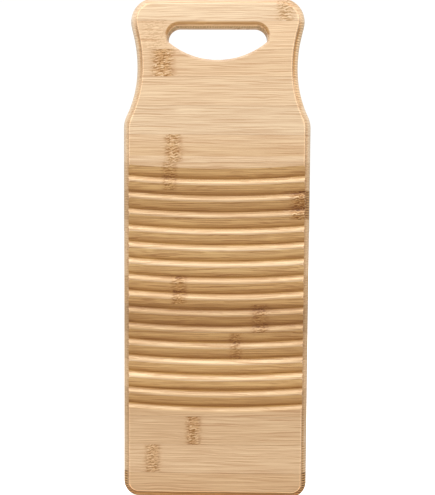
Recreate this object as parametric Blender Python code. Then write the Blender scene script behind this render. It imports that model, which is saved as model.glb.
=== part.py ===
"""Laminated bamboo washboard: a flat board with a handle slot, a moulded edge and 15 curved ribs.

The board stands upright. +Z runs from its foot to its head, the ribbed face looks along -Y, and the
origin is under the middle of its bottom edge. It is made the way the real one is: rough laths are
glued up in three plies, then the whole board is cut to its outline, slotted and ribbed.
"""

import math

import bmesh
import bpy
from mathutils import Vector

MM = 0.001

# Whole board
LENGTH = 500 * MM
WIDTH = 185.6 * MM
THICKNESS = 20 * MM
PLIES = 3
GLUE_LINE = 0.3 * MM

# Plan outline of one side, which the other side mirrors
BOTTOM_CORNER = 16 * MM
SHOULDER_RADIUS = 27 * MM
NECK_RADIUS = 108 * MM
WAIST_HALF = 79.3 * MM
WAIST_HEIGHT = 432 * MM
HEAD_HALF = 85.6 * MM
HEAD_HEIGHT = 477 * MM
HEAD_EASE = 8 * MM
WAIST_EASE = 26 * MM

# Moulding round the front, and the small round along the back edge
STEP = 3.6 * MM
LEDGE_WIDTH = 5.5 * MM  # along the sides
END_EXTRA = 1.0 * MM  # wider by this at the foot and the head
EDGE_ROUND = 5.0 * MM
ARRIS = 1.9 * MM
BACK_ROUND = 1.5 * MM

# Handle slot
SLOT_HALF = 49.3 * MM
SLOT_TOP = 472.9 * MM
SLOT_BOTTOM = 439.0 * MM
SLOT_CORNER = 12 * MM
SLOT_HEEL = 3.5 * MM
SLOT_BELLY = 76 * MM
SLOT_RIM = 3.0 * MM

# Ribs: the middle of the first groove lies this high on the centre line, and the rest follow below
GROOVES = 15
GROOVE_PITCH = 16.3 * MM
FIRST_GROOVE = 322.7 * MM
GROOVE_ARC = 1000 * MM
GROOVE_DEPTH = 3.5 * MM

# Laths: the widths of those across the front, from the foot up to the last seam, and an even pitch
# across the back. The head takes whatever is left above the last seam.
FRONT_LATHS = (27.3, 28.8, 28.7, 28.7, 29.2, 27.2, 28.2, 28.3, 28.3)
FRONT_LATHS += (28.4, 28.3, 27.5, 27.3, 27.8, 28.2, 26.5, 27.5)
BACK_FIRST_SEAM = 22.4 * MM
BACK_PITCH = 28.1 * MM
CORE_LATHS = 7

FRONT = -THICKNESS / 2
BACK = THICKNESS / 2
PLY = THICKNESS / PLIES
LEDGE = FRONT + STEP
HALF_WIDTH = WIDTH / 2
OVERCUT = 2 * MM

parts = bpy.data.collections.new("washboard")
cutters = bpy.data.collections.new("cutters")


# ---------------------------------------------------------------------------------- plan outlines


def arc(centre, radius, start, end, steps):
    """Points on an arc about centre, with its angles in degrees, both ends included."""
    turn = [math.radians(start + (end - start) * i / steps) for i in range(steps + 1)]
    return [Vector((centre[0] + radius * math.cos(a), centre[1] + radius * math.sin(a))) for a in turn]


def bezier(p0, p1, p2, p3, steps):
    """The inner points of a cubic curve."""
    inner = [i / steps for i in range(1, steps)]
    return [
        p0 * (1 - t) ** 3 + p1 * 3 * t * (1 - t) ** 2 + p2 * 3 * t**2 * (1 - t) + p3 * t**3
        for t in inner
    ]


def mirrored(right_side):
    """A closed loop: the right side going up, then the same points on the left going down."""
    return right_side + [Vector((-p.x, p.y)) for p in reversed(right_side)]


def board_outline():
    """The board's plan, anticlockwise from its bottom right corner."""
    bottom = arc((HALF_WIDTH - BOTTOM_CORNER, BOTTOM_CORNER), BOTTOM_CORNER, -90, 0, 7)

    shoulder_x = HALF_WIDTH - SHOULDER_RADIUS
    neck_x = WAIST_HALF + NECK_RADIUS
    reach = SHOULDER_RADIUS + NECK_RADIUS
    lean = math.acos((neck_x - shoulder_x) / reach)
    shoulder_z = WAIST_HEIGHT - reach * math.sin(lean)
    degrees = math.degrees(lean)
    shoulder = arc((shoulder_x, shoulder_z), SHOULDER_RADIUS, 0, degrees, 5)
    neck = arc((neck_x, WAIST_HEIGHT), NECK_RADIUS, 180 + degrees, 180, 6)

    waist = Vector((WAIST_HALF, WAIST_HEIGHT))
    head = Vector((HEAD_HALF, HEAD_HEIGHT))
    flare = bezier(waist, waist + Vector((0, WAIST_EASE)), head - Vector((0, HEAD_EASE)), head, 8)

    top_corner = LENGTH - HEAD_HEIGHT
    top = arc((HEAD_HALF - top_corner, HEAD_HEIGHT), top_corner, 0, 90, 8)
    return mirrored(bottom + shoulder + neck[1:] + flare + top)


def inset(outline, amount, at_ends=0.0):
    """The outline moved inwards, and by at_ends more where it faces down or up."""
    count = len(outline)
    moved = []
    for i, point in enumerate(outline):
        along = (outline[(i + 1) % count] - outline[i - 1]).normalized()
        moved.append(point + Vector((-along.y * amount, along.x * (amount + at_ends))))
    return moved


def slot_outline(grow):
    """The handle slot's plan: a flat top, round shoulders and one shallow arc below, grown outwards."""
    corner = (SLOT_HALF - SLOT_CORNER, SLOT_TOP - SLOT_CORNER)
    belly = (0.0, SLOT_BOTTOM + SLOT_BELLY)
    heel_x = SLOT_HALF - SLOT_HEEL
    heel_drop = math.sqrt((SLOT_BELLY - SLOT_HEEL) ** 2 - heel_x**2)
    heel_turn = -math.degrees(math.atan2(heel_drop, heel_x))
    floor = arc(belly, SLOT_BELLY + grow, -90, heel_turn, 7)
    heel = arc((heel_x, belly[1] - heel_drop), SLOT_HEEL + grow, heel_turn, 0, 4)
    shoulder = arc(corner, SLOT_CORNER + grow, 0, 90, 7)
    return mirrored(floor[1:] + heel[1:] + shoulder)


# ------------------------------------------------------------------------------------------ solids


def place(name, mesh, collection):
    obj = bpy.data.objects.new(name, mesh)
    collection.objects.link(obj)
    return obj


def loft(name, rings):
    """A closed cutter through rings of (outline, y), all with the same number of points."""
    bm = bmesh.new()
    loops = [[bm.verts.new((p.x, y, p.y)) for p in outline] for outline, y in rings]
    for ring, following in zip(loops, loops[1:]):
        for i in range(len(ring)):
            j = (i + 1) % len(ring)
            bm.faces.new((ring[i], ring[j], following[j], following[i]))
    for cap in (loops[0], loops[-1]):
        bm.faces.new(cap)
    bm.normal_update()
    bmesh.ops.triangulate(bm, faces=[f for f in bm.faces if len(f.verts) > 4])
    bmesh.ops.recalc_face_normals(bm, faces=bm.faces)
    return finish_cutter(name, bm)


def finish_cutter(name, bm):
    mesh = bpy.data.meshes.new(name)
    bm.to_mesh(mesh)
    bm.free()
    cutter = place(name, mesh, cutters)
    cutter.hide_render = True
    cutter.display_type = "WIRE"
    return cutter


def quarter(steps):
    """(sine, cosine) pairs through a quarter turn."""
    return [(math.sin(a), math.cos(a)) for a in (math.pi / 2 * i / steps for i in range(steps + 1))]


def board_form():
    """The outside of the finished board: arris, step, ledge, quarter round, side and back round."""
    outline = board_outline()
    rings = []
    for sine, cosine in quarter(2):
        shrink = ARRIS * (1 - sine)
        rings.append((inset(outline, LEDGE_WIDTH + shrink, END_EXTRA), FRONT + ARRIS * (1 - cosine)))
    rings.append((inset(outline, LEDGE_WIDTH, END_EXTRA), LEDGE))
    for sine, cosine in quarter(5):
        shrink = EDGE_ROUND * (1 - sine)
        rings.append((inset(outline, shrink), LEDGE + EDGE_ROUND * (1 - cosine)))
    for sine, cosine in reversed(quarter(2)):
        shrink = BACK_ROUND * (1 - sine)
        rings.append((inset(outline, shrink), BACK - BACK_ROUND * (1 - cosine)))
    return loft("board_form", rings)


def slot_cutter():
    """The handle slot, flared at both faces so that its rims come out round."""
    rings = [(slot_outline(SLOT_RIM), FRONT - OVERCUT)]
    for sine, cosine in quarter(4):
        rings.append((slot_outline(SLOT_RIM * (1 - sine)), FRONT + SLOT_RIM * (1 - cosine)))
    for sine, cosine in reversed(quarter(2)):
        rings.append((slot_outline(BACK_ROUND * (1 - sine)), BACK - BACK_ROUND * (1 - cosine)))
    rings.append((slot_outline(BACK_ROUND), BACK + OVERCUT))
    return loft("slot_cutter", rings)


def groove_section():
    """(height above the middle, depth) down one groove: a long slope, the V and a steeper flank."""
    slope = [(10.9, 0.0), (9.8, 0.05), (8.6, 0.17), (7.2, 0.305), (5.0, 0.48), (2.5, 0.70), (0.6, 0.90)]
    flank = [(-0.3, 1.0), (-0.9, 0.94), (-2.1, 0.68), (-3.3, 0.31), (-4.3, 0.075), (-5.2, 0.0)]
    return [(height * MM, share * GROOVE_DEPTH) for height, share in slope + flank]


def rib_cutter():
    """All the grooves: the same section swept along arcs that sag towards the foot."""
    half_turn = math.asin((HALF_WIDTH + OVERCUT) / GROOVE_ARC)
    stations = [half_turn * (i / 7 - 1) for i in range(15)]
    section = groove_section()
    highest, lowest = section[0][0], section[-1][0]
    closed = [(highest, -OVERCUT)] + section + [(lowest, -OVERCUT)]
    bm = bmesh.new()
    for k in range(GROOVES):
        centre_z = FIRST_GROOVE - k * GROOVE_PITCH + GROOVE_ARC
        loops = []
        for turn in stations:
            loop = []
            for height, depth in closed:
                radius = GROOVE_ARC - height
                x, z = radius * math.sin(turn), centre_z - radius * math.cos(turn)
                loop.append(bm.verts.new((x, FRONT + depth, z)))
            loops.append(loop)
        for ring, following in zip(loops, loops[1:]):
            for i in range(len(ring)):
                j = (i + 1) % len(ring)
                bm.faces.new((ring[i], ring[j], following[j], following[i]))
        for cap in (loops[0], loops[-1]):
            bm.faces.new(cap)
    bmesh.ops.recalc_face_normals(bm, faces=bm.faces)
    return finish_cutter("rib_cutter", bm)


# ------------------------------------------------------------------------------------------- laths


def bamboo(name, colour):
    material = bpy.data.materials.new(name)
    material.use_nodes = True
    shader = material.node_tree.nodes["Principled BSDF"]
    shader.inputs["Base Color"].default_value = (*colour, 1.0)
    shader.inputs["Roughness"].default_value = 0.5
    shader.inputs["Metallic"].default_value = 0.0
    return material


def cut(lath, operation, cutter):
    modifier = lath.modifiers.new(f"{operation.lower()}_{cutter.name}", "BOOLEAN")
    modifier.operation = operation
    modifier.solver = "EXACT"
    modifier.object = cutter


def lath(name, low, high, material):
    """A rough lath between two corners, then cut to the board's outline, slot and ribs."""
    bm = bmesh.new()
    bmesh.ops.create_cube(bm, size=1.0)
    middle, size = (low + high) / 2, high - low
    bmesh.ops.scale(bm, vec=size, verts=bm.verts)
    mesh = bpy.data.meshes.new(name)
    bm.to_mesh(mesh)
    bm.free()
    mesh.materials.append(material)
    piece = place(name, mesh, parts)
    piece.location = middle
    cut(piece, "INTERSECT", form)
    if high.z > SLOT_BOTTOM - SLOT_RIM and low.z < SLOT_TOP + SLOT_RIM:
        cut(piece, "DIFFERENCE", slot)
    sag = HALF_WIDTH**2 / (2 * GROOVE_ARC)
    ribs_top = FIRST_GROOVE + groove_section()[0][0] + sag
    ribs_bottom = FIRST_GROOVE - (GROOVES - 1) * GROOVE_PITCH + groove_section()[-1][0]
    if low.y < FRONT + GROOVE_DEPTH and low.z < ribs_top and high.z > ribs_bottom:
        cut(piece, "DIFFERENCE", ribs)


def spans(edges):
    """Pairs of neighbouring edges, drawn in by half a glue line wherever two laths meet."""
    half = GLUE_LINE / 2
    lows = [edges[0]] + [e + half for e in edges[1:-1]]
    highs = [e - half for e in edges[1:-1]] + [edges[-1]]
    return list(zip(lows, highs))


def front_seams():
    """Heights of the joints between the front laths."""
    heights = []
    for width in FRONT_LATHS:
        heights.append((heights[-1] if heights else 0) + width * MM)
    return heights


def back_seams():
    """Heights of the joints between the back laths."""
    count = math.ceil((LENGTH - BACK_FIRST_SEAM) / BACK_PITCH)
    return [BACK_FIRST_SEAM + BACK_PITCH * k for k in range(count)]


def cross_ply(prefix, seams, y_low, y_high, material):
    """Laths across the board. One that the slot cuts right through is a left and a right piece."""
    side = HALF_WIDTH + OVERCUT
    edges = [-OVERCUT] + seams + [LENGTH + OVERCUT]
    for number, (z_low, z_high) in enumerate(spans(edges), start=1):
        name = f"{prefix}_lath_{number:02d}"
        if z_low > SLOT_BOTTOM and z_high < SLOT_TOP:
            lath(name + "_left", Vector((-side, y_low, z_low)), Vector((0, y_high, z_high)), material)
            lath(name + "_right", Vector((0, y_low, z_low)), Vector((side, y_high, z_high)), material)
        else:
            lath(name, Vector((-side, y_low, z_low)), Vector((side, y_high, z_high)), material)


def core_ply(y_low, y_high, material):
    """Laths along the board. One that the slot crosses goes on above it as a short stub."""
    width = WIDTH / CORE_LATHS
    edges = [-HALF_WIDTH + width * i for i in range(CORE_LATHS + 1)]
    edges[0] -= OVERCUT
    edges[-1] += OVERCUT
    slot_middle = (SLOT_BOTTOM + SLOT_TOP) / 2
    bottom, top = -OVERCUT, LENGTH + OVERCUT
    for number, (x_low, x_high) in enumerate(spans(edges), start=1):
        crossed = x_low > -SLOT_HALF and x_high < SLOT_HALF
        end = slot_middle if crossed else top
        lath(f"core_lath_{number}", Vector((x_low, y_low, bottom)), Vector((x_high, y_high, end)), material)
        if crossed:
            lower = Vector((x_low, y_low, slot_middle))
            lath(f"core_stub_{number}", lower, Vector((x_high, y_high, top)), material)


for old in list(bpy.data.objects):
    bpy.data.objects.remove(old, do_unlink=True)
for collection in (parts, cutters):
    bpy.context.scene.collection.children.link(collection)

form = board_form()
slot = slot_cutter()
ribs = rib_cutter()

ply_spans = spans([FRONT - OVERCUT, FRONT + PLY, BACK - PLY, BACK + OVERCUT])
cross_ply("front", front_seams(), *ply_spans[0], bamboo("bamboo_front", (0.72, 0.47, 0.25)))
core_ply(*ply_spans[1], bamboo("bamboo_core", (0.66, 0.42, 0.21)))
cross_ply("back", back_seams(), *ply_spans[2], bamboo("bamboo_back", (0.70, 0.46, 0.24)))
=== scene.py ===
"""Looks for the laminated bamboo washboard: fine laths cut from one finished board, and their bamboo."""

import math
import random

import bmesh
import bpy
import numpy as np
from mathutils import Matrix, Vector


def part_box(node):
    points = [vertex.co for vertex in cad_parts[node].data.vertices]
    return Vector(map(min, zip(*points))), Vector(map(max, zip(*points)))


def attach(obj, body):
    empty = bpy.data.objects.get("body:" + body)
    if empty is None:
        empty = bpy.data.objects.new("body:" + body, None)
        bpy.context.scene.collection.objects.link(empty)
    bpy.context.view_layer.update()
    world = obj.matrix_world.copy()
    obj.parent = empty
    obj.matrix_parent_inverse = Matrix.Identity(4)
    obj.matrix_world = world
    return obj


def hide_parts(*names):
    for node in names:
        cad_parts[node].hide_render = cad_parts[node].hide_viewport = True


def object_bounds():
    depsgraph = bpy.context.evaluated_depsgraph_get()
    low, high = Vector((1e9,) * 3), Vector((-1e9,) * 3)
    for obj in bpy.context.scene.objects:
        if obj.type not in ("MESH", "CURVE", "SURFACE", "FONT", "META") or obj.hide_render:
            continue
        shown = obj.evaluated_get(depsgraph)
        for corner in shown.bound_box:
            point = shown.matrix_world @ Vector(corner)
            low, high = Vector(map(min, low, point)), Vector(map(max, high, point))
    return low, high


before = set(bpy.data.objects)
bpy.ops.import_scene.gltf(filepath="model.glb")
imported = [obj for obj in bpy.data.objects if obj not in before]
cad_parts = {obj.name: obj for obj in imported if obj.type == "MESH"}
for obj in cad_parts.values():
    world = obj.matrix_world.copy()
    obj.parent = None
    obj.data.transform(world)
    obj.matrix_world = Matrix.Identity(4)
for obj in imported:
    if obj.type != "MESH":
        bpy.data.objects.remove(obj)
cad_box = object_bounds()

MM = 0.001

# Whole board, as the CAD model has it
LENGTH = cad_box[1].z - cad_box[0].z
WIDTH = cad_box[1].x - cad_box[0].x
FRONT, BACK = cad_box[0].y, cad_box[1].y
HALF_WIDTH = WIDTH / 2

# Plan outline
BOTTOM_CORNER = 16 * MM
SHOULDER_RADIUS = 27 * MM
NECK_RADIUS = 108 * MM
WAIST_HALF = 79.3 * MM
WAIST_HEIGHT = 432 * MM
HEAD_HALF = 85.6 * MM
HEAD_HEIGHT = 477 * MM
HEAD_EASE = 8 * MM
WAIST_EASE = 26 * MM

# Moulding
STEP = 3.6 * MM
LEDGE_WIDTH = 5.5 * MM
END_EXTRA = 1.0 * MM
EDGE_ROUND = 5.0 * MM
ARRIS = 1.9 * MM
BACK_ROUND = 1.5 * MM
LEDGE = FRONT + STEP

# Handle slot
SLOT_HALF = 49.3 * MM
SLOT_TOP = 472.9 * MM
SLOT_BOTTOM = 439.0 * MM
SLOT_CORNER = 12 * MM
SLOT_HEEL = 3.5 * MM
SLOT_BELLY = 76 * MM
SLOT_RIM = 3.0 * MM

# Ribs
GROOVES = 15
GROOVE_PITCH = 16.3 * MM
FIRST_GROOVE = 322.7 * MM
GROOVE_ARC = 1000 * MM
GROOVE_DEPTH = 3.5 * MM
RIBS_TOP = 345 * MM
HALF_ARC_STEPS = 20

# Laths: the CAD pieces stand this far apart, and the looks close that to a hairline
CAD_GAP = 0.3 * MM
HAIRLINE = 0.05 * MM

# Cutting and shading: how far the cutters stand out, how near a corner counts as on a saw's plane,
# and the angle in degrees from which an edge looks sharp
OVERCUT = 2 * MM
ON_THE_PLANE = 0.0001 * MM
SHARP_EDGE = 32


# ---------------------------------------------------------------------------------- plan outlines


def arc(centre, radius, start, end, steps):
    """Points on an arc about centre, with its angles in degrees, both ends included."""
    turn = [math.radians(start + (end - start) * i / steps) for i in range(steps + 1)]
    return [Vector((centre[0] + radius * math.cos(a), centre[1] + radius * math.sin(a))) for a in turn]


def bezier(p0, p1, p2, p3, steps):
    """The inner points of a cubic curve."""
    inner = [i / steps for i in range(1, steps)]
    return [
        p0 * (1 - t) ** 3 + p1 * 3 * t * (1 - t) ** 2 + p2 * 3 * t**2 * (1 - t) + p3 * t**3
        for t in inner
    ]


def mirrored(right_side):
    """A closed outline from its right side, which runs upwards."""
    return right_side + [Vector((-p.x, p.y)) for p in reversed(right_side)]


def board_outline():
    """Straight foot and sides, a waist below the head, and a head that flares out again."""
    bottom = arc((HALF_WIDTH - BOTTOM_CORNER, BOTTOM_CORNER), BOTTOM_CORNER, -90, 0, steps=18)

    shoulder_x = HALF_WIDTH - SHOULDER_RADIUS
    neck_x = WAIST_HALF + NECK_RADIUS
    reach = SHOULDER_RADIUS + NECK_RADIUS
    lean = math.acos((neck_x - shoulder_x) / reach)
    shoulder_z = WAIST_HEIGHT - reach * math.sin(lean)
    degrees = math.degrees(lean)
    shoulder = arc((shoulder_x, shoulder_z), SHOULDER_RADIUS, 0, degrees, steps=10)
    neck = arc((neck_x, WAIST_HEIGHT), NECK_RADIUS, 180 + degrees, 180, steps=16)

    waist = Vector((WAIST_HALF, WAIST_HEIGHT))
    head = Vector((HEAD_HALF, HEAD_HEIGHT))
    leaving, arriving = waist + Vector((0, WAIST_EASE)), head - Vector((0, HEAD_EASE))
    flare = bezier(waist, leaving, arriving, head, steps=20)

    top_corner = LENGTH - HEAD_HEIGHT
    top = arc((HEAD_HALF - top_corner, HEAD_HEIGHT), top_corner, 0, 90, steps=20)
    return mirrored(bottom + shoulder + neck[1:] + flare + top)


def inset(outline, amount, at_ends=0.0):
    """The outline moved inwards, and by at_ends more where it faces down or up."""
    count = len(outline)
    moved = []
    for i, point in enumerate(outline):
        along = (outline[(i + 1) % count] - outline[i - 1]).normalized()
        moved.append(point + Vector((-along.y * amount, along.x * (amount + at_ends))))
    return moved


def slot_outline(grow):
    """Straight top, round upper corners and a bottom that bellies down; larger all round by grow."""
    corner = (SLOT_HALF - SLOT_CORNER, SLOT_TOP - SLOT_CORNER)
    belly = (0.0, SLOT_BOTTOM + SLOT_BELLY)
    heel_x = SLOT_HALF - SLOT_HEEL
    heel_drop = math.sqrt((SLOT_BELLY - SLOT_HEEL) ** 2 - heel_x**2)
    heel_turn = -math.degrees(math.atan2(heel_drop, heel_x))
    floor = arc(belly, SLOT_BELLY + grow, -90, heel_turn, steps=20)
    heel = arc((heel_x, belly[1] - heel_drop), SLOT_HEEL + grow, heel_turn, 0, steps=8)
    shoulder = arc(corner, SLOT_CORNER + grow, 0, 90, steps=16)
    return mirrored(floor[1:] + heel[1:] + shoulder)


# -------------------------------------------------------------------------------- the whole board


def quarter(steps):
    """(sine, cosine) pairs through a quarter turn."""
    return [(math.sin(a), math.cos(a)) for a in (math.pi / 2 * i / steps for i in range(steps + 1))]


def skin(bm, loops):
    """Faces between loops of corners, all with the same number of them, and over both ends."""
    for ring, following in zip(loops, loops[1:]):
        for i in range(len(ring)):
            j = (i + 1) % len(ring)
            bm.faces.new((ring[i], ring[j], following[j], following[i]))
    for cap in (loops[0], loops[-1]):
        bm.faces.new(cap)


def loft(name, rings):
    """A closed solid through rings of (outline, y), all with the same number of points."""
    bm = bmesh.new()
    skin(bm, [[bm.verts.new((p.x, y, p.y)) for p in outline] for outline, y in rings])
    bm.normal_update()
    bmesh.ops.triangulate(bm, faces=[f for f in bm.faces if len(f.verts) > 4])
    bmesh.ops.recalc_face_normals(bm, faces=bm.faces)
    return as_object(name, bm)


def as_object(name, bm):
    """Ends the making of a mesh, and puts it in the scene."""
    mesh = bpy.data.meshes.new(name)
    bm.to_mesh(mesh)
    bm.free()
    obj = bpy.data.objects.new(name, mesh)
    bpy.context.scene.collection.objects.link(obj)
    return obj


def blank():
    """The board before its slot and ribs: an arris, a step, a ledge, a large round and a small one."""
    outline = board_outline()
    rings = []
    for sine, cosine in quarter(4):
        shrink = ARRIS * (1 - sine)
        rings.append((inset(outline, LEDGE_WIDTH + shrink, END_EXTRA), FRONT + ARRIS * (1 - cosine)))
    rings.append((inset(outline, LEDGE_WIDTH, END_EXTRA), LEDGE))
    for sine, cosine in quarter(10):
        shrink = EDGE_ROUND * (1 - sine)
        rings.append((inset(outline, shrink), LEDGE + EDGE_ROUND * (1 - cosine)))
    for sine, cosine in reversed(quarter(4)):
        shrink = BACK_ROUND * (1 - sine)
        rings.append((inset(outline, shrink), BACK - BACK_ROUND * (1 - cosine)))
    return loft("blank", rings)


def slot_cutter():
    """Rounds the slot's rim generously in front and a little at the back."""
    rings = [(slot_outline(SLOT_RIM), FRONT - OVERCUT)]
    for sine, cosine in quarter(8):
        rings.append((slot_outline(SLOT_RIM * (1 - sine)), FRONT + SLOT_RIM * (1 - cosine)))
    for sine, cosine in reversed(quarter(4)):
        rings.append((slot_outline(BACK_ROUND * (1 - sine)), BACK - BACK_ROUND * (1 - cosine)))
    rings.append((slot_outline(BACK_ROUND), BACK + OVERCUT))
    return loft("slot_cutter", rings)


def groove_section():
    """Points (height above the middle, depth) down one groove: a rounded crest, a slope, a V and a flank.

    The points of the curves are in millimetres of height and in shares of the groove's depth.
    """
    top = Vector((10.9, 0.0))
    slope_top = Vector((8.0, 0.235))
    slope_foot = Vector((0.1, 0.965))
    valley = Vector((-0.3, 1.0))
    bottom = Vector((-5.2, 0.0))
    crest = bezier(top, Vector((9.756, 0.023)), Vector((9.295, 0.098)), slope_top, steps=5)
    slope = bezier(slope_top, Vector((5.367, 0.467)), Vector((2.733, 0.625)), slope_foot, steps=8)
    flank = bezier(valley, Vector((-2.426, 0.858)), Vector((-3.323, 0.016)), bottom, steps=9)
    points = [top, *crest, slope_top, *slope, slope_foot, valley, *flank, bottom]
    return [(point.x * MM, point.y * GROOVE_DEPTH) for point in points]


def rib_cutter():
    """Grooves that sag on wide arcs, all alike, one pitch apart."""
    half_turn = math.asin((HALF_WIDTH + OVERCUT) / GROOVE_ARC)
    stations = [half_turn * (i / HALF_ARC_STEPS - 1) for i in range(2 * HALF_ARC_STEPS + 1)]
    section = groove_section()
    highest, lowest = section[0][0], section[-1][0]
    closed = [(highest, -OVERCUT)] + section + [(lowest, -OVERCUT)]
    bm = bmesh.new()
    for k in range(GROOVES):
        centre_z = FIRST_GROOVE - k * GROOVE_PITCH + GROOVE_ARC
        loops = []
        for turn in stations:
            loop = []
            for height, depth in closed:
                radius = GROOVE_ARC - height
                x, z = radius * math.sin(turn), centre_z - radius * math.cos(turn)
                loop.append(bm.verts.new((x, FRONT + depth, z)))
            loops.append(loop)
        skin(bm, loops)
    bmesh.ops.recalc_face_normals(bm, faces=bm.faces)
    return as_object("rib_cutter", bm)


def finished_board():
    """The mesh of the whole board in one piece, with its slot and ribs cut."""
    board = blank()
    tools = [slot_cutter(), rib_cutter()]
    for tool in tools:
        modifier = board.modifiers.new(tool.name, "BOOLEAN")
        modifier.operation = "DIFFERENCE"
        modifier.solver = "EXACT"
        modifier.object = tool
    bpy.context.view_layer.update()
    solid = board.evaluated_get(bpy.context.evaluated_depsgraph_get())
    mesh = bpy.data.meshes.new_from_object(solid)
    for obj in [board, *tools]:
        bpy.data.objects.remove(obj, do_unlink=True)
    return mesh


# ------------------------------------------------------------------------------------------ laths


def saw(bm, point, normal):
    """Cuts away what lies on the normal's side of a plane, and closes the sawn face."""
    geometry = bm.verts[:] + bm.edges[:] + bm.faces[:]
    result = bmesh.ops.bisect_plane(
        bm, geom=geometry, dist=ON_THE_PLANE, plane_co=point, plane_no=normal, clear_outer=True
    )
    sawn = [e for e in result["geom_cut"] if isinstance(e, bmesh.types.BMEdge) and e.is_boundary]
    if sawn:
        bmesh.ops.holes_fill(bm, edges=sawn, sides=0)


def lath(name, board, upright):
    """The share of the board that a CAD lath takes, sawn out along the planes between the laths."""
    low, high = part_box(name)
    closer = Vector((1, 1, 1)) * (CAD_GAP - HAIRLINE) / 2
    low, high = low - closer, high + closer
    bm = bmesh.new()
    bm.from_mesh(board)
    saw_order = (0, 2, 1) if upright else (2, 0, 1)
    for axis in saw_order:
        normal = Vector((0, 0, 0))
        normal[axis] = 1
        if high[axis] < cad_box[1][axis]:
            saw(bm, high, normal)
        if low[axis] > cad_box[0][axis]:
            saw(bm, low, -normal)
    bmesh.ops.recalc_face_normals(bm, faces=bm.faces)
    mesh = bpy.data.meshes.new(name + "_bamboo")
    bm.to_mesh(mesh)
    bm.free()
    mesh.shade_smooth()
    mesh.set_sharp_from_angle(angle=math.radians(SHARP_EDGE))
    piece = bpy.data.objects.new(name + "_bamboo", mesh)
    bpy.context.scene.collection.objects.link(piece)
    weighted = piece.modifiers.new("even_faces", "WEIGHTED_NORMAL")
    weighted.keep_sharp = True
    return piece


def set_points(mesh, name, *values):
    """Stores three numbers with each point; each is one number for all, or one for each point."""
    columns = [np.broadcast_to(value, len(mesh.vertices)) for value in values]
    layer = mesh.attributes.new(name, "FLOAT_VECTOR", "POINT")
    layer.data.foreach_set("vector", np.stack(columns, 1).astype(np.float32).ravel())


def mark(piece, upright, seed, tone, knot, pores):
    """Stores where each point lies in its lath, in millimetres, and what the lath is like."""
    mesh = piece.data
    points = np.zeros(len(mesh.vertices) * 3, np.float32)
    mesh.vertices.foreach_get("co", points)
    x, y, z = points.reshape(-1, 3).T / MM
    along, across = (z, x) if upright else (x, z)
    middle = (across.min() + across.max()) / 2
    half_width = (across.max() - across.min()) / 2
    knot_place, knot_width, knot_strength = knot
    set_points(mesh, "grain", along, across - middle, y - FRONT / MM)
    set_points(mesh, "knot", along - knot_place, knot_width, knot_strength)
    set_points(mesh, "lath", seed, *tone)
    set_points(mesh, "edge", half_width, np.where(along < along.mean(), *pores), 0.0)


# ---------------------------------------------------------------------------------------- bamboo

# Millimetres past an edge where its zone of the colour still holds
TOUCH = 0.05

# Tints over the bamboo's own colour: the knot, the pored ends and the warm laths are the bamboo's own, and
# the bands beside and around the ribs are darker or lighter;
# the rest are painted shade and painted highlights where light falls on the ribs, the arris, the moulding
# and the slot
TINTS = {
    "knot": (0.84, 0.68, 0.43),
    "beside_ribs": (0.89, 0.84, 0.76),
    "pored_end": (1.05, 0.90, 0.62),
    "painted_slope_shade": (0.99, 0.88, 0.61),
    "painted_valley_shade": (0.60, 0.45, 0.20),
    "painted_crest_highlight": (1.02, 1.05, 1.01),
    "above_ribs": (0.93, 0.89, 0.82),
    "topmost_rib": (1.03, 1.05, 1.08),
    "arris": (1.30, 1.28, 1.26),
    "foot_step_shade": (0.22, 0.11, 0.045),
    "foot_ledge_shade": (1.04, 0.79, 0.52),
    "foot_arris_highlight": (1.50, 1.52, 1.54),
    "head_arris_shade": (0.90, 0.87, 0.86),
    "crease": (0.68, 0.54, 0.36),
    "neck_round_highlight": (1.17, 1.15, 1.12),
    "head_round_highlight": (1.06, 1.09, 1.16),
    "top_round_shade": (0.76, 0.72, 0.68),
    "foot_round_painted_light": (1.25, 0.98, 0.66),
    "slot_rim_shade": (0.80, 0.64, 0.41),
    "slot_lip_highlight": (1.15, 1.10, 0.90),
    "slot_floor_shade": (0.84, 0.86, 0.92),
    "warm_lath": (1.0, 0.90, 0.78),
}
END_GRAIN = (0.92, 0.80, 0.64)
PORE = (0.10, 0.045, 0.005)
FLECK = (0.97, 0.78, 0.54)


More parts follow.
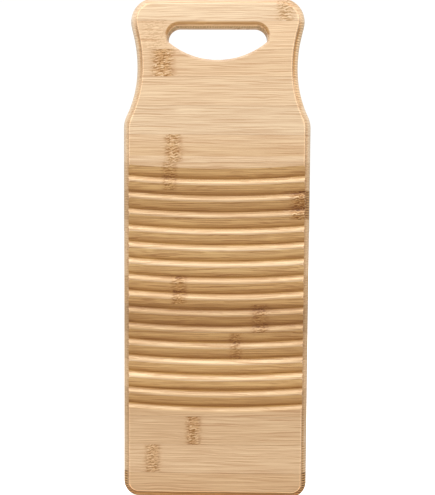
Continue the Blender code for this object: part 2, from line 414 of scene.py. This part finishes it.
class Graph:
    """A few words for building a material's nodes."""

    def __init__(self, tree):
        self.tree = tree

    def node(self, kind, **settings):
        made = self.tree.nodes.new(kind)
        for name, value in settings.items():
            setattr(made, name, value)
        return made

    def feed(self, socket, value):
        """Links another node's output to a socket, or sets a number or a colour on it."""
        if isinstance(value, bpy.types.NodeSocket):
            self.tree.links.new(value, socket)
        elif socket.type == "RGBA":
            socket.default_value = (*value, 1)
        else:
            socket.default_value = value

    def math(self, operation, *values, clamp=False):
        made = self.node("ShaderNodeMath", operation=operation, use_clamp=clamp)
        for socket, value in zip(made.inputs, values):
            self.feed(socket, value)
        return made.outputs[0]

    def chain(self, operation, values):
        result = values[0]
        for value in values[1:]:
            result = self.math(operation, result, value)
        return result

    def add(self, *values):
        return self.chain("ADD", values)

    def times(self, *values):
        return self.chain("MULTIPLY", values)

    def either(self, *values):
        return self.chain("MAXIMUM", values)

    def beyond(self, value, limit):
        return self.math("GREATER_THAN", value, limit)

    def short_of(self, value, limit):
        return self.math("LESS_THAN", value, limit)

    def size_of(self, value):
        return self.math("ABSOLUTE", value)

    def wave(self, value):
        return self.math("SINE", value)

    def components(self, vector):
        split = self.node("ShaderNodeSeparateXYZ")
        self.feed(split.inputs[0], vector)
        return split.outputs[0], split.outputs[1], split.outputs[2]

    def attribute(self, name):
        made = self.node("ShaderNodeAttribute", attribute_name=name, attribute_type="GEOMETRY")
        return self.components(made.outputs["Vector"])

    def coordinates(self, kind):
        return self.components(self.node("ShaderNodeTexCoord").outputs[kind])

    def stretched(self, point, scales):
        """A point with each coordinate scaled: fibres come from a low scale along them."""
        made = self.node("ShaderNodeCombineXYZ")
        for socket, coordinate, scale in zip(made.inputs, point, scales):
            self.feed(socket, self.times(coordinate, scale))
        return made.outputs[0]

    def noise(self, point, scales, detail=1.0):
        made = self.node("ShaderNodeTexNoise")
        self.feed(made.inputs["Vector"], self.stretched(point, scales))
        made.inputs["Scale"].default_value = 1.0
        made.inputs["Detail"].default_value = detail
        return made.outputs[0]

    def wobble(self, point, scales, detail=1.0):
        """Noise that goes as far below zero as above it."""
        return self.add(self.noise(point, scales, detail), -0.5)

    def cells(self, point, scales):
        made = self.node("ShaderNodeTexVoronoi")
        self.feed(made.inputs["Vector"], self.stretched(point, scales))
        made.inputs["Scale"].default_value = 1.0
        return made.outputs["Distance"]

    def ramp(self, value, low, high, start=0.0, end=1.0):
        """Goes smoothly from start, where the value is low, to end, where it is high."""
        made = self.node("ShaderNodeMapRange", interpolation_type="SMOOTHSTEP")
        for name, number in (("From Min", low), ("From Max", high), ("To Min", start), ("To Max", end)):
            self.feed(made.inputs[name], number)
        self.feed(made.inputs["Value"], value)
        return made.outputs[0]

    def fall(self, value, low, high, end=0.0):
        """One where the value is low, and end where it is high."""
        return self.ramp(value, low, high, 1.0, end)

    def hump(self, value, middle, half_width, power):
        """One at the middle and falling away on both sides; a higher power makes the top flatter."""
        offset = self.size_of(self.times(self.add(value, -middle), 1 / half_width))
        return self.math("EXPONENT", self.times(self.math("POWER", offset, power), -1.0))

    def blend(self, share, first, second, mode="MIX", clamp=True):
        made = self.node("ShaderNodeMix", data_type="RGBA", blend_type=mode, clamp_factor=clamp)
        self.feed(made.inputs["Factor"], share)
        self.feed(made.inputs[6], first)
        self.feed(made.inputs[7], second)
        return made.outputs[2]

    def tinted(self, share, colour, tint):
        return self.blend(share, colour, TINTS[tint], "MULTIPLY")


class Spot:
    """Where the shaded point lies in its lath and on the board, and which way its face looks.

    Lengths are in millimetres, depth is measured from the board's front, and zones go from 0 to 1.
    """

    def __init__(self, g, end_axis):
        self.along, self.across, self.depth = g.attribute("grain")
        self.from_knot, self.knot_width, self.knot_strength = g.attribute("knot")
        self.seed, self.tone, self.warmth = g.attribute("lath")
        self.half_width, self.pored = g.attribute("edge")[:2]
        self.find_zones(g, end_axis)
        self.find_knot(g)
        self.follow_fibres(g)

    def find_zones(self, g, end_axis):
        """The faces and the zones of the board that the colour depends on."""
        face = g.coordinates("Normal")
        place = g.coordinates("Object")
        self.side = g.times(place[0], 1 / MM)
        self.high = g.times(place[2], 1 / MM)
        self.faces_side = g.size_of(face[0])
        self.faces_up = face[2]
        self.faces_down = g.times(face[2], -1.0)
        self.faces_end = g.size_of(face[end_axis])
        self.on_end = g.ramp(self.faces_end, 0.25, 0.8)
        rim = SLOT_RIM + MM
        beside_slot = g.beyond(g.size_of(self.side), (SLOT_HALF + rim) / MM)
        below_slot = g.short_of(self.high, (SLOT_BOTTOM - rim) / MM)
        above_slot = g.beyond(self.high, (SLOT_TOP + rim) / MM)
        self.outside_slot = g.either(beside_slot, below_slot, above_slot)
        self.below_step = g.beyond(self.depth, STEP / MM - TOUCH)
        in_front = g.fall(self.depth, (STEP + EDGE_ROUND) / MM, 11.0)
        self.moulded = g.times(self.below_step, self.outside_slot, in_front)
        self.at_foot = g.short_of(self.high, 20.0)
        self.at_top = g.ramp(self.high, 470.0, 490.0)

    def find_knot(self, g):
        """How near the point is to the knot's middle, and whether it is inside its ragged sides."""
        self.lath_point = (
            g.add(self.along, g.times(self.seed, 37.3)),
            g.add(self.across, g.times(self.seed, 11.9)),
            self.depth,
        )
        self.reach = g.math("DIVIDE", self.from_knot, self.knot_width)
        self.near_knot = g.times(g.hump(self.reach, 0.0, 1.6, 2.2), self.knot_strength)
        ragged = g.add(self.reach, g.times(g.wobble(self.lath_point, (0.08, 0.55, 0.2)), 1.1))
        self.in_knot = g.times(g.hump(ragged, 0.0, 0.95, 4.0), self.knot_strength)

    def follow_fibres(self, g):
        """Coordinates that follow the fibres, which drift and sway, and tangle near the knot."""
        drift = g.wobble(self.lath_point, (0.012, 0.05, 0.05), 2.0)
        sway = g.wobble(self.lath_point, (0.07, 0.16, 0.1), 2.0)
        tangle = g.times(g.wobble(self.lath_point, (0.2, 0.3, 0.2)), self.near_knot)
        swerve = g.add(g.times(drift, 5.0), g.times(sway, 1.1), g.times(tangle, 3.0))
        along, across, depth = self.lath_point
        self.fibre_across = g.add(across, swerve)
        self.fibre_point = (along, self.fibre_across, g.add(depth, g.times(drift, 1.5)))


def fibre_streaks(g, at):
    """How dark the fibres are: soft and fine streaks, drawn lines, and bundles cut across on the ends."""
    fine = g.noise(at.fibre_point, (0.014, 0.95, 0.9))
    finest = g.noise(at.fibre_point, (0.018, 2.3, 1.7))
    broad = g.noise(at.fibre_point, (0.006, 0.13, 0.12))
    lines = g.noise(at.fibre_point, (0.012, 1.25, 1.2), 0.0)
    bend = g.noise(at.fibre_point, (0.008, 0.22, 0.2))
    drawn = g.wave(g.add(g.times(at.fibre_across, 2.55), g.times(bend, 16.0)))
    bundles = g.cells(at.fibre_point, (0.012, 0.72, 0.72))
    streaks = g.add(
        g.times(g.ramp(fine, 0.34, 0.66), 0.08),
        g.times(g.ramp(finest, 0.40, 0.60), 0.70),
        g.times(drawn, 0.22),
        g.times(g.ramp(broad, 0.3, 0.7), 0.04),
        g.times(g.ramp(lines, 0.58, 0.68), 0.20),
        g.times(g.fall(bundles, 0.16, 0.42), at.on_end, 0.55),
    )
    return g.math("ADD", streaks, -0.08, clamp=True)


def knot_strokes(g, at):
    """Kinked rows inside the knot: the dark strokes and the pale flecks between them."""
    wander = g.noise((*at.fibre_point[:2], at.seed), (0.16, 0.34, 1.0), 2.0)
    kink = g.wave(g.add(g.times(at.along, 0.75), g.times(wander, 17.0)))
    kinked = g.add(at.fibre_across, g.times(kink, 0.6))
    rows = g.wave(g.add(g.times(kinked, 2.3), g.times(wander, 9.0)))
    broken = g.noise(at.fibre_point, (0.15, 0.45, 0.3))
    strokes = g.times(g.ramp(rows, -0.15, 0.5), g.ramp(broken, 0.34, 0.50), at.in_knot)
    flecks = g.times(g.ramp(rows, -0.3, -0.9), g.ramp(broken, 0.56, 0.44), at.in_knot)
    return strokes, flecks


def with_knot(g, at, colour, strokes, flecks, fibre, knot):
    """A darker patch across the lath, browner at its two sides, with its strokes and flecks."""
    patches = g.ramp(g.noise(at.fibre_point, (0.14, 0.16, 0.1)), 0.38, 0.6)
    right_side = g.hump(at.reach, 0.9, 0.28, 2.0)
    left_side = g.hump(at.reach, -0.75, 0.3, 2.0)
    strong = g.times(at.knot_strength, at.knot_strength)
    sides = g.times(g.add(right_side, g.times(left_side, 0.7)), patches, strong)
    colour = g.blend(g.times(at.near_knot, 0.20), colour, fibre)
    colour = g.tinted(g.times(at.in_knot, at.knot_strength, 0.75), colour, "knot")
    colour = g.blend(g.times(sides, 0.9), colour, fibre)
    colour = g.blend(g.times(strokes, 0.95), colour, knot)
    return g.blend(g.times(flecks, 0.65), colour, FLECK)


def pore_rows(g, at):
    """Dashes a little over 2 mm apart across a lath."""
    uneven = g.noise((at.across, at.seed, 0.5), (0.25, 1.0, 1.0), 2.0)
    return g.ramp(g.wave(g.add(g.times(at.across, 2.5), g.times(uneven, 2.5))), -0.25, 0.15)


def with_ends(g, at, colour, pores, fibre, pith):
    """The fibres' ends on the rounded edge, paler and here and there with pores, and the glue lines."""
    colour = g.blend(g.times(at.on_end, 0.10), colour, fibre)
    plain = g.add(1.0, g.times(at.pored, -0.8))
    faded = g.times(at.moulded, g.ramp(at.faces_end, 0.0, 0.95, 0.03, 0.42), plain)
    colour = g.blend(faded, colour, END_GRAIN)
    top = RIBS_TOP / MM
    beside_ribs = g.times(g.ramp(at.high, 55.0, 90.0, 0.05), g.fall(at.high, top - 12, top))
    colour = g.tinted(g.times(at.moulded, beside_ribs), colour, "beside_ribs")
    turned = g.times(g.ramp(at.faces_end, 0.04, 0.30), g.fall(at.faces_end, 0.5, 0.9, 0.55))
    browned = g.times(turned, at.below_step, at.pored)
    colour = g.tinted(browned, colour, "pored_end")
    colour = g.blend(g.times(pores, browned), colour, PORE)
    to_seam = g.math("SUBTRACT", at.half_width, g.size_of(at.across))
    return g.blend(g.times(g.fall(to_seam, 0.0, 0.55), 0.22), colour, pith)


def with_ribs(g, at, colour, streaks, pith):
    """Painted shade on the long slopes that face down and more in the valleys, a painted highlight on the
    crests, a darker band just above the ribs and a lighter topmost rib.
    """
    top = RIBS_TOP / MM
    below_top = g.short_of(at.high, top)
    ribbed = g.times(g.short_of(at.depth, GROOVE_DEPTH / MM + TOUCH), below_top)
    # Painted shade: the slopes that face down get darker streaks and a browner tint
    slope = g.times(g.ramp(at.faces_down, 0.03, 0.26), g.ramp(at.depth, 0.0, 0.3), ribbed)
    slope = g.times(slope, g.fall(at.depth, 2.4, 3.4, 0.4))
    colour = g.blend(g.times(g.add(streaks, -0.35), slope, 0.55), colour, pith)
    colour = g.tinted(slope, colour, "painted_slope_shade")
    # Painted shade deeper in the valleys, and a painted highlight on the faces that look up
    colour = g.tinted(g.times(g.ramp(at.depth, 1.2, 3.5), ribbed), colour, "painted_valley_shade")
    colour = g.tinted(g.times(g.ramp(at.faces_up, 0.03, 0.2), ribbed), colour, "painted_crest_highlight")
    flat = g.short_of(at.depth, TOUCH)
    above = g.times(flat, g.ramp(at.high, top + 21, top), g.beyond(at.high, top))
    colour = g.tinted(above, colour, "above_ribs")
    below = g.times(flat, g.ramp(at.high, top - 12, top), below_top)
    return g.tinted(below, colour, "topmost_rib")


def with_arris(g, at, colour):
    """A painted highlight along the arris where it turns from the face, painted shade on the step and
    ledge at the foot with a painted highlight on the foot's arris, and painted shade on the arris at the
    head.
    """
    on_arris = g.times(g.short_of(at.depth, ARRIS / MM + TOUCH), at.outside_slot)
    turned = g.either(at.faces_side, g.times(at.faces_down, at.at_foot))
    # Painted highlight: a bright line where the arris turns from the face
    line = g.times(on_arris, g.ramp(turned, 0.03, 0.12), g.fall(turned, 0.4, 0.65))
    colour = g.tinted(line, colour, "arris")
    # Painted shade on the step and on the inner ledge at the foot
    on_step = g.times(g.short_of(at.depth, STEP / MM + TOUCH), g.ramp(at.depth, 0.2, 0.6))
    foot_step_shade = g.times(on_step, at.outside_slot, g.ramp(at.faces_down, 0.22, 0.38), at.at_foot)
    colour = g.tinted(foot_step_shade, colour, "foot_step_shade")
    foot_ledge_shade = g.times(at.moulded, g.ramp(at.high, 14.0, 7.0), g.fall(at.depth, 3.66, 4.0))
    colour = g.tinted(foot_ledge_shade, colour, "foot_ledge_shade")
    # Painted highlight on the foot's arris, and painted shade where the arris faces up at the head
    foot_line = g.times(g.ramp(at.faces_down, 0.03, 0.15), g.fall(at.faces_down, 0.22, 0.38))
    colour = g.tinted(g.times(foot_line, on_arris, at.at_foot), colour, "foot_arris_highlight")
    return g.tinted(g.times(on_arris, g.ramp(at.faces_up, 0.1, 0.5), at.at_top), colour, "head_arris_shade")


def with_moulding(g, at, colour, pores):
    """Painted shade in the crease at the foot of the step, strongest at the neck and with pore dashes low
    on the right; painted highlights and painted shade on the rounds.
    """
    dashes = g.times(pores, g.ramp(at.side, 0.0, 50.0), g.ramp(at.high, 110.0, 70.0), 0.8)
    painted_shade_strength = g.times(g.add(g.ramp(at.high, 412.0, 438.0, 0.30), dashes), g.fall(at.high, 464.0, 482.0))
    crease = g.times(painted_shade_strength, g.fall(at.depth, 3.62, 4.1), g.ramp(at.side, -80.0, 80.0, 0.7))
    in_neck = g.times(g.ramp(at.high, 385.0, 410.0), g.fall(at.high, 445.0, 470.0, 0.2))
    right_neck = g.times(g.ramp(at.side, 30.0, 70.0), in_neck)
    left_head = g.times(g.ramp(at.side, -30.0, -70.0), g.ramp(at.high, 455.0, 480.0))
    top = g.times(g.ramp(at.faces_up, 0.0, 0.5), at.at_top)
    foot = g.times(g.ramp(at.faces_down, 0.0, 0.5), g.ramp(at.high, 20.0, 4.0))
    # Painted shade in the crease and on the top round, painted highlights on the neck and head rounds, and
    # painted light under the round at the foot
    shares = {
        "crease": crease,
        "neck_round_highlight": right_neck,
        "head_round_highlight": left_head,
        "top_round_shade": top,
        "foot_round_painted_light": foot,
    }
    for tint, share in shares.items():
        colour = g.tinted(g.times(share, at.moulded), colour, tint)
    return colour


def with_slot(g, at, colour):
    """Painted shade under the rim's upper side, a painted highlight where the rim meets the wall, and
    painted shade on the faces that look up.
    """
    within = g.times(g.math("SUBTRACT", 1.0, at.outside_slot), g.ramp(at.depth, 0.0, 0.15))
    under = g.times(within, g.ramp(at.faces_down, 0.03, 0.2))
    # Painted shade under the rim, a painted highlight at the lip and painted shade on the slot's floor
    colour = g.tinted(g.times(under, g.fall(at.depth, 2.3, 2.8)), colour, "slot_rim_shade")
    lip = g.times(under, g.ramp(at.depth, 2.7, 3.0), g.fall(at.depth, 6.0, 9.0))
    colour = g.tinted(lip, colour, "slot_lip_highlight")
    return g.tinted(g.times(within, g.ramp(at.faces_up, 0.05, 0.3)), colour, "slot_floor_shade")


def with_tone(g, at, colour):
    """Each lath is as light and as warm as its own bamboo; the warmth shows less on the moulding."""
    warmth = g.times(at.warmth, g.fall(at.moulded, 0.0, 1.0, 0.55))
    tint = g.blend(warmth, (1.0, 1.0, 1.0), TINTS["warm_lath"], clamp=False)
    bright = g.node("ShaderNodeVectorMath", operation="SCALE")
    g.feed(bright.inputs[0], g.blend(1.0, colour, tint, "MULTIPLY"))
    g.feed(bright.inputs["Scale"], at.tone)
    return bright.outputs[0]


def bamboo(name, pale, fibre, pith, knot, end_axis):
    """Solid bamboo: fibres that run along each lath, bundles on its ends, and one knot."""
    material = bpy.data.materials.new(name)
    material.use_nodes = True
    shader = material.node_tree.nodes["Principled BSDF"]
    g = Graph(material.node_tree)
    at = Spot(g, end_axis)
    streaks = fibre_streaks(g, at)
    strokes, flecks = knot_strokes(g, at)
    pores = pore_rows(g, at)

    colour = g.blend(streaks, pale, fibre)
    colour = with_knot(g, at, colour, strokes, flecks, fibre, knot)
    colour = with_ends(g, at, colour, pores, fibre, pith)
    colour = with_ribs(g, at, colour, streaks, pith)
    colour = with_arris(g, at, colour)
    colour = with_moulding(g, at, colour, pores)
    colour = with_slot(g, at, colour)
    g.feed(shader.inputs["Base Color"], with_tone(g, at, colour))

    rough = g.add(0.46, g.times(streaks, 0.10), g.times(strokes, 0.08), g.times(at.on_end, 0.12))
    g.feed(shader.inputs["Roughness"], rough)
    shader.inputs["Specular IOR Level"].default_value = 0.45

    bump = g.node("ShaderNodeBump")
    bump.inputs["Strength"].default_value = 0.5
    bump.inputs["Distance"].default_value = 0.10 * MM
    g.feed(bump.inputs["Height"], g.add(g.times(streaks, -1.0), g.times(strokes, -0.6)))
    g.feed(shader.inputs["Normal"], bump.outputs[0])
    return material


def ply_materials():
    """The front ply is the best bamboo; the core's laths stand upright, so their ends face up and down."""
    return {
        "front": bamboo(
            "bamboo_front",
            pale=(0.85, 0.635, 0.405),
            fibre=(0.57, 0.34, 0.18),
            pith=(0.27, 0.11, 0.035),
            knot=(0.31, 0.14, 0.028),
            end_axis=0,
        ),
        "core": bamboo(
            "bamboo_core",
            pale=(0.80, 0.59, 0.325),
            fibre=(0.50, 0.31, 0.13),
            pith=(0.26, 0.11, 0.04),
            knot=(0.36, 0.17, 0.06),
            end_axis=2,
        ),
        "back": bamboo(
            "bamboo_back",
            pale=(0.82, 0.605, 0.38),
            fibre=(0.54, 0.33, 0.155),
            pith=(0.28, 0.12, 0.04),
            knot=(0.40, 0.19, 0.07),
            end_axis=0,
        ),
    }


# ------------------------------------------------------------------------- each lath's own bamboo

KNOT_WIDTH = 8.0

# The knots that show on the front: lath number, place across the board, half width and strength
FRONT_KNOTS = {
    2: (-63, 7.5, 0.75),
    3: (-22, 7.0, 0.9),
    6: (20, 6.0, 0.7),
    7: (44, 8.0, 0.8),
    8: (-37, 7.0, 0.85),
    11: (83, 9.0, 1.0),
    12: (-47, 7.0, 0.7),
    13: (-43, 8.0, 0.85),
    16: (-53.5, 10.5, 1.0),
    17: (-62, 14.0, 0.3),
    18: (66, 8.0, 0.7),
}
# How light each front lath is, and how warm, from the foot up; the laths near the head are also made
# lighter as painted light, brighter towards the head
FRONT_TONES = {
    1: (0.895, 1.00),
    2: (0.965, 0.57),
    3: (0.905, 0.79),
    4: (0.87, 1.00),
    5: (1.02, 0.50),
    6: (0.865, 1.00),
    7: (0.723, 1.62),
    8: (0.91, 0.94),
    9: (1.00, 0.34),
    10: (0.973, 0.59),
    11: (0.85, 0.96),
    12: (0.936, 0.69),
    13: (1.008, 0.38),
    14: (1.02, 0.00),
    15: (1.032, 0.17),
    16: (1.02, 0.38),
    17: (1.10, 0.18),
    18: (1.11, -0.26),
}
# How strongly the pores show on the left and right ends of the front laths
FRONT_PORES = {
    1: (0.85, 1.0),
    2: (0.2, 0.35),
    8: (0.3, 0.2),
    11: (0.2, 0.6),
    15: (0.1, 0.3),
    16: (0.1, 0.35),
    17: (0.1, 0.4),
    18: (0.1, 0.2),
}
FAINT_PORES = (0.05, 0.08)
HIDDEN_PORES = (0.3, 0.3)


def dress(node, number, board, materials):
    """Replaces one CAD lath with its fine one, in bamboo of its own."""
    ply, rest = node.split("_", 1)
    upright = ply == "core"
    knot = (random.uniform(-80, 80), KNOT_WIDTH, random.uniform(0.2, 0.7))
    tone = (random.uniform(0.95, 1.03), random.uniform(0.0, 0.4))
    pores = HIDDEN_PORES
    if upright:
        knot = (random.uniform(60, 440), *knot[1:])
    if ply == "front":
        row = int(rest[-2:])
        knot = FRONT_KNOTS.get(row, (0, KNOT_WIDTH, 0.0))
        tone = FRONT_TONES[row]
        pores = FRONT_PORES.get(row, FAINT_PORES)
    piece = lath(node, board, upright)
    mark(piece, upright, number + 1.0, tone, knot, pores)
    piece.data.materials.clear()
    piece.data.materials.append(materials[ply])
    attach(piece, "root")
    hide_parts(node)


def laths():
    random.seed(7)
    materials = ply_materials()
    board = finished_board()
    for number, node in enumerate(sorted(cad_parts)):
        dress(node, number, board, materials)
    bpy.data.meshes.remove(board)


# ------------------------------------------------------------------------ floor, light and camera


def floor():
    """Pale grey to the light that falls on it, and nearly white to the camera."""
    bm = bmesh.new()
    bmesh.ops.create_grid(bm, x_segments=2, y_segments=2, size=12)
    plane = as_object("floor", bm)
    material = bpy.data.materials.new("floor")
    material.use_nodes = True
    shader = material.node_tree.nodes["Principled BSDF"]
    shader.inputs["Roughness"].default_value = 0.7
    shader.inputs["Emission Color"].default_value = (1, 1, 1, 1)
    g = Graph(material.node_tree)
    seen = g.node("ShaderNodeLightPath").outputs["Is Camera Ray"]
    away = g.node("ShaderNodeVectorMath", operation="LENGTH")
    g.feed(away.inputs[0], g.node("ShaderNodeTexCoord").outputs["Object"])
    glow = g.ramp(away.outputs["Value"], 0.4, 1.6, 0.90)
    g.feed(shader.inputs["Base Color"], g.blend(seen, (0.55, 0.55, 0.55), (0.93, 0.93, 0.93)))
    g.feed(shader.inputs["Emission Strength"], g.times(seen, glow))
    plane.data.materials.append(material)


def soft_light(name, place, size, watts):
    """A round light that points at the middle of the board."""
    data = bpy.data.lights.new(name, "AREA")
    data.shape = "DISK"
    data.size = size
    data.energy = watts
    light = bpy.data.objects.new(name, data)
    light.location = place
    towards = Vector((0, 0, LENGTH / 2)) - Vector(place)
    light.rotation_euler = towards.to_track_quat("-Z", "Y").to_euler()
    bpy.context.scene.collection.objects.link(light)


def sky():
    """White where the camera sees it, and dimmer as a light."""
    world = bpy.data.worlds.new("studio")
    world.use_nodes = True
    bpy.context.scene.world = world
    g = Graph(world.node_tree)
    background = world.node_tree.nodes["Background"]
    seen = g.node("ShaderNodeLightPath").outputs["Is Camera Ray"]
    background.inputs["Color"].default_value = (1, 1, 1, 1)
    g.feed(background.inputs["Strength"], g.add(0.75, g.times(seen, 0.3)))


def camera(place, pitch, yaw, roll, lens):
    """Looks along +Y, turned by its angles in degrees: pitch looks down, and yaw to the right."""
    pitch, yaw, roll = math.radians(pitch), math.radians(yaw), math.radians(roll)
    forward = Vector((math.sin(yaw) * math.cos(pitch), math.cos(yaw) * math.cos(pitch), -math.sin(pitch)))
    level = forward.cross(Vector((0, 0, 1))).normalized()
    plumb = level.cross(forward)
    right = level * math.cos(roll) + plumb * math.sin(roll)
    up = plumb * math.cos(roll) - level * math.sin(roll)
    data = bpy.data.cameras.new("camera")
    data.lens = lens
    data.sensor_width = 36
    data.clip_start = 0.05
    data.clip_end = 60
    made = bpy.data.objects.new("camera", data)
    made.matrix_world = Matrix.Translation(place) @ Matrix((right, up, -forward)).transposed().to_4x4()
    bpy.context.scene.collection.objects.link(made)
    bpy.context.scene.camera = made


laths()
floor()
soft_light("key", place=(-0.06, -0.85, 2.30), size=0.6, watts=37)
soft_light("back_fill", place=(-0.6, 2.4, 1.6), size=1.6, watts=12)
sky()
camera(place=(0.0105, -0.620, 0.2845), pitch=2.77, yaw=-0.86, roll=0.37, lens=44.85)
bpy.context.scene.view_settings.view_transform = "Standard"
